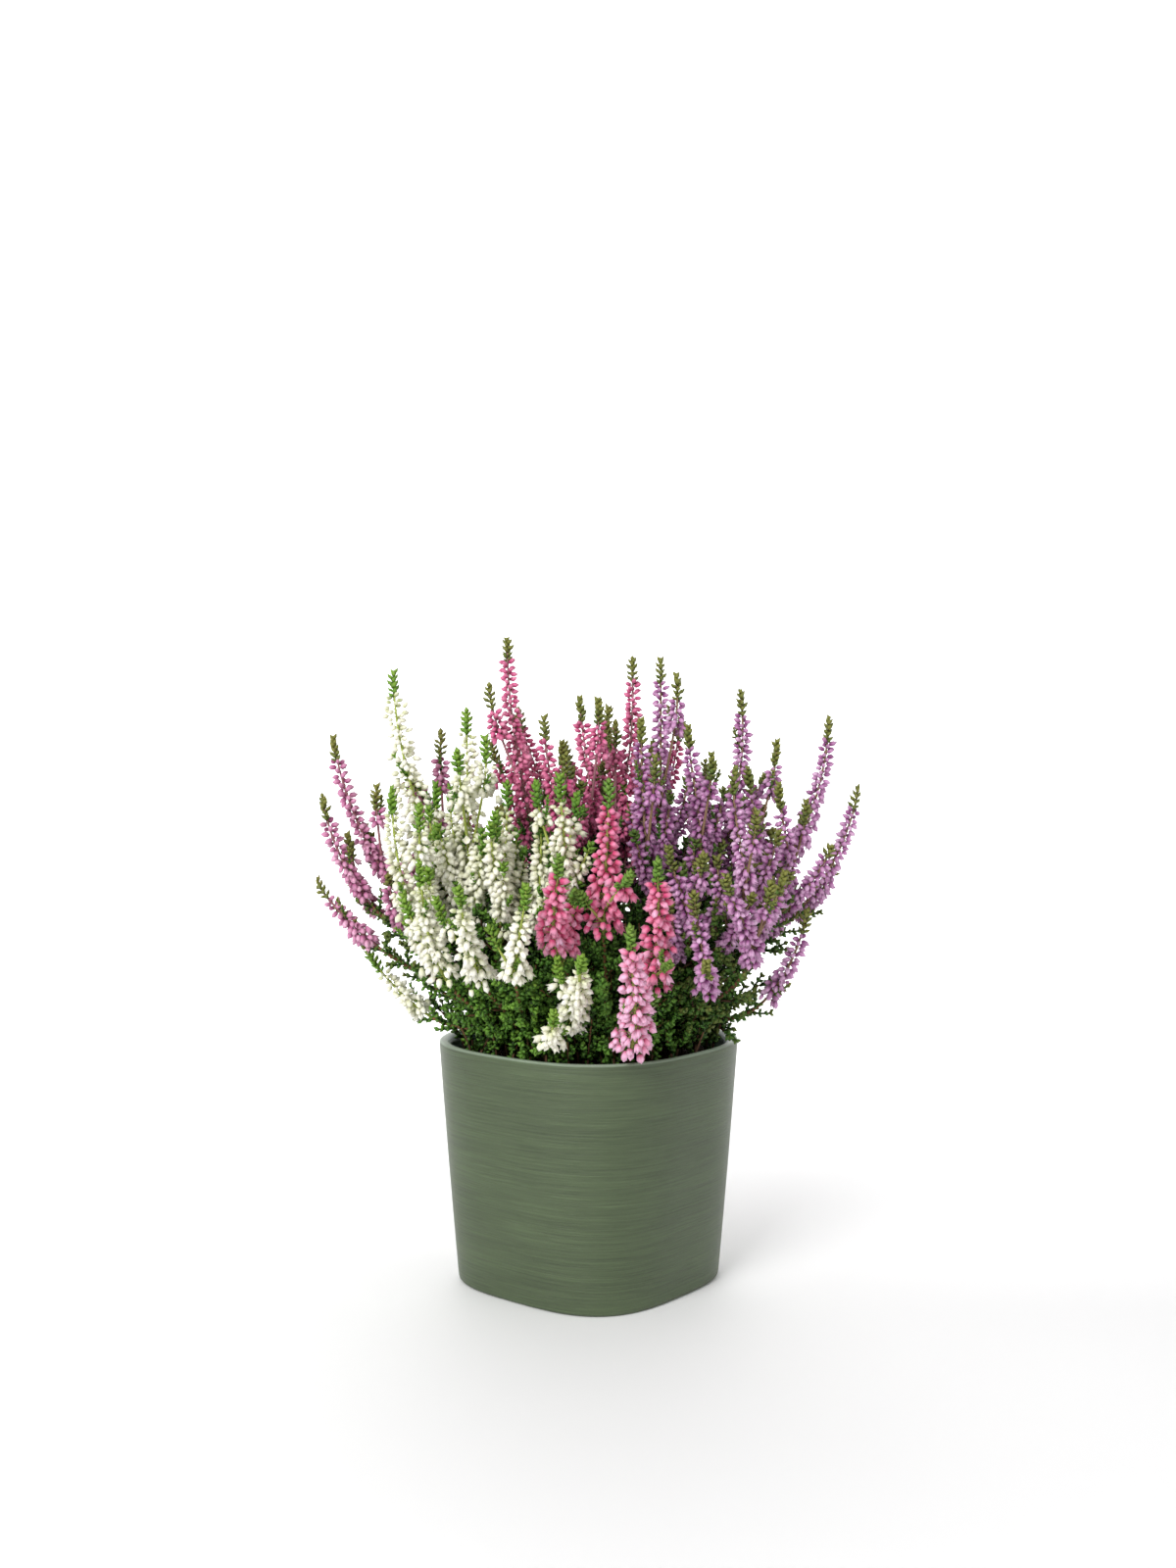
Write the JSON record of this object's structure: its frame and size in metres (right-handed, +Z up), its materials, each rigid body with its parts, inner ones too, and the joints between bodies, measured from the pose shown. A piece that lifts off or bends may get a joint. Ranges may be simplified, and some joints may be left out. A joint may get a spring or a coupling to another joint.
{
  "type": "potted heather",
  "caption": "Heather plants in white, pink and lilac, with upright bud spikes over dark scale foliage, rooted in peat in a tapered rounded-square glazed pot.",
  "frame": {"origin": "middle of the pot's flat foot, on the surface that it stands on", "axes": "+Z up; the picture is seen from -Y, with +X to its right"},
  "size_m": [0.241, 0.2105, 0.29],
  "materials": {
    "pot_glaze": "satin glaze with faint level brush streaks, thin pale lip",
    "peat": "damp dark crumbs",
    "white_leaves": "soft waxy scale leaves on brown-green twigs",
    "mauve_leaves": "soft waxy scale leaves on brown-green twigs",
    "pink_leaves": "soft waxy scale leaves on brown-green twigs",
    "rose_leaves": "soft waxy scale leaves on brown-green twigs",
    "lilac_leaves": "soft waxy scale leaves on brown-green twigs",
    "white_flowers": "papery flower buds, matt with a faint sheen",
    "mauve_flowers": "papery flower buds, matt with a faint sheen",
    "pink_flowers": "papery flower buds, matt with a faint sheen",
    "rose_flowers": "papery flower buds, matt with a faint sheen",
    "lilac_flowers": "papery flower buds, matt with a faint sheen"
  },
  "bodies": {
    "root": {"lilac_spray_01": "lilac_flowers", "lilac_spray_02": "lilac_flowers", "lilac_spray_03": "lilac_flowers", "lilac_spray_04": "lilac_flowers", "lilac_spray_05": "lilac_flowers", "lilac_spray_06": "lilac_flowers", "lilac_spray_07": "lilac_flowers", "lilac_spray_08": "lilac_flowers", "lilac_spray_09": "lilac_flowers", "lilac_spray_10": "lilac_flowers", "lilac_spray_11": "lilac_flowers", "lilac_spray_12": "lilac_flowers", "lilac_spray_13": "lilac_flowers", "lilac_spray_14": "lilac_flowers", "lilac_spray_15": "lilac_flowers", "lilac_spray_16": "lilac_flowers", "lilac_spray_17": "lilac_flowers", "lilac_stems": "lilac_leaves", "mauve_spray_01": "mauve_flowers", "mauve_spray_02": "mauve_flowers", "mauve_spray_03": "mauve_flowers", "mauve_spray_04": "mauve_flowers", "mauve_spray_05": "mauve_flowers", "mauve_spray_06": "mauve_flowers", "mauve_spray_07": "mauve_flowers", "mauve_stems": "mauve_leaves", "pink_spray_01": "pink_flowers", "pink_spray_02": "pink_flowers", "pink_spray_03": "pink_flowers", "pink_spray_04": "pink_flowers", "pink_spray_05": "pink_flowers", "pink_spray_06": "pink_flowers", "pink_spray_07": "pink_flowers", "pink_spray_08": "pink_flowers", "pink_spray_09": "pink_flowers", "pink_spray_10": "pink_flowers", "pink_spray_11": "pink_flowers", "pink_spray_12": "pink_flowers", "pink_spray_13": "pink_flowers", "pink_stems": "pink_leaves", "pot": "pot_glaze", "rose_spray_01": "rose_flowers", "rose_spray_02": "rose_flowers", "rose_spray_03": "rose_flowers", "rose_spray_04": "rose_flowers", "rose_stems": "rose_leaves", "soil": "peat", "white_spray_01": "white_flowers", "white_spray_02": "white_flowers", "white_spray_03": "white_flowers", "white_spray_04": "white_flowers", "white_spray_05": "white_flowers", "white_spray_06": "white_flowers", "white_spray_07": "white_flowers", "white_spray_08": "white_flowers", "white_spray_09": "white_flowers", "white_spray_10": "white_flowers", "white_spray_11": "white_flowers", "white_stems": "white_leaves"}
  },
  "joints": []
}
